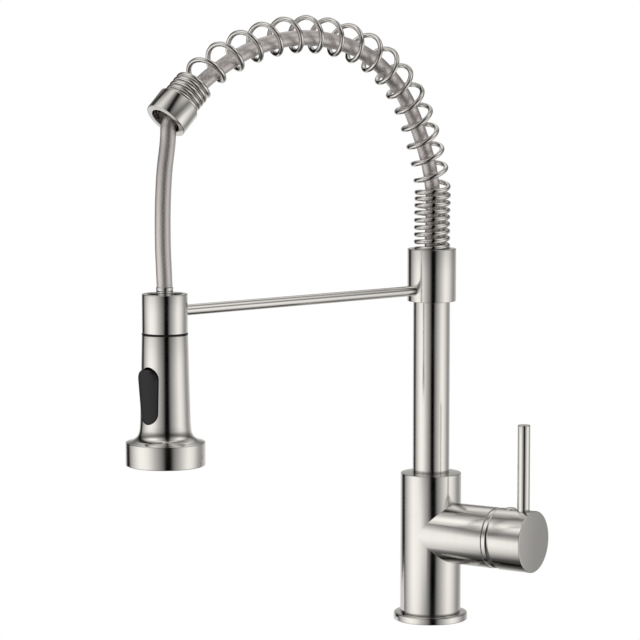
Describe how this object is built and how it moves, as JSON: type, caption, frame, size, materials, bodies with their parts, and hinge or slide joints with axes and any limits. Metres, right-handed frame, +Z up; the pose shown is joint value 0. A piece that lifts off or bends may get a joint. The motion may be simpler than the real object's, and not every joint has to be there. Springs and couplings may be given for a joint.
{
  "type": "pull down kitchen faucet",
  "caption": "Tall kitchen mixer faucet with an open-coil spring arch, braided hose, docked pull-down spray head with rocker button, and a side lever valve.",
  "frame": {"origin": "centre of the base flange's underside, on the deck plane", "axes": "+Z up along the riser, -Y out along the spout's reach at rest, valve housing towards +X turned 17.5 degrees to +Y"},
  "size_m": [0.1097, 0.2987, 0.5024],
  "materials": {
    "brushed nickel": "fine brushed satin",
    "spring steel": "drawn wire, satin",
    "steel": "plain satin",
    "brass": "machined",
    "black plastic": "satin moulded",
    "white plastic": "moulded",
    "rubber": "matt",
    "hose braid": "woven stainless braid"
  },
  "bodies": {
    "faucet_base": {"mounting_shank": "brass", "mounting_washer_rubber": "rubber", "mounting_washer_metal": "steel", "mounting_nut": "brass", "tightening_screw_left": "steel", "tightening_screw_right": "steel", "hot_inlet": "brass", "cold_inlet": "brass", "mixed_outlet": "brass", "base_flange": "brushed nickel", "base_gasket": "rubber", "faucet_body": "brushed nickel", "swivel_bush": "white plastic", "riser_retaining_ring": "brushed nickel", "o_ring_lower": "rubber", "o_ring_upper": "rubber", "swivel_set_screw": "steel", "cartridge_body": "white plastic", "cartridge_nut": "brass", "bonnet_dome": "brushed nickel"},
    "spout": {"riser_tube": "brushed nickel", "support_collar": "brushed nickel", "collar_set_screw": "steel", "coil_spring": "spring steel", "spring_end_fitting": "brushed nickel", "spray_hose": "hose braid", "spray_hose_free_end": "hose braid", "support_arm": "brushed nickel", "docking_ring": "brushed nickel", "dock_insert": "black plastic"},
    "hose_end": {"hose_ferrule": "steel", "hose_nut": "brass"},
    "spray_head": {"spray_head_shell": "brushed nickel", "button_housing": "black plastic", "button_pin": "steel", "spray_face": "black plastic", "nozzle_ring": "rubber", "aerator": "steel", "diverter_body": "white plastic", "check_valve": "white plastic"},
    "rocker_button": {"spray_button": "black plastic"},
    "valve_rotor": {"cartridge_rotor": "white plastic", "rotor_pin": "steel"},
    "lever": {"cartridge_stem": "brass", "handle_cap": "brushed nickel", "lever_rod": "brushed nickel", "handle_set_screw": "steel", "indicator_plug": "brushed nickel"}
  },
  "joints": [
    {"name": "spout_swivel", "type": "hinge", "parent": "faucet_base", "child": "spout", "pos_m": [0, 0, 0.1027], "axis": [0, 0, 1], "continuous": true},
    {"name": "spray_head_pull", "type": "slide", "parent": "spout", "child": "hose_end", "axis": [0, 0, -1], "range_m": [0, 0.45], "deforming": ["spray_hose_free_end"]},
    {"name": "spray_head_turn", "type": "hinge", "parent": "hose_end", "child": "spray_head", "pos_m": [0, -0.2285, 0.2313], "axis": [0, 0, 1], "continuous": true},
    {"name": "spray_rocker", "type": "hinge", "parent": "spray_head", "child": "rocker_button", "pos_m": [0.00149, -0.23788, 0.1767], "axis": [-0.9877, -0.1564, 0], "range_deg": [0, 9], "stiffness_Nm_per_rad": 0.02},
    {"name": "temperature_turn", "type": "hinge", "parent": "faucet_base", "child": "valve_rotor", "pos_m": [0.03815, 0.01203, 0.0618], "axis": [0.9537, 0.3007, 0], "range_deg": [-45, 45]},
    {"name": "flow_lift", "type": "hinge", "parent": "valve_rotor", "child": "lever", "pos_m": [0.03815, 0.01203, 0.0618], "axis": [-0.3007, 0.9537, 0], "range_deg": [0, 18]}
  ]
}
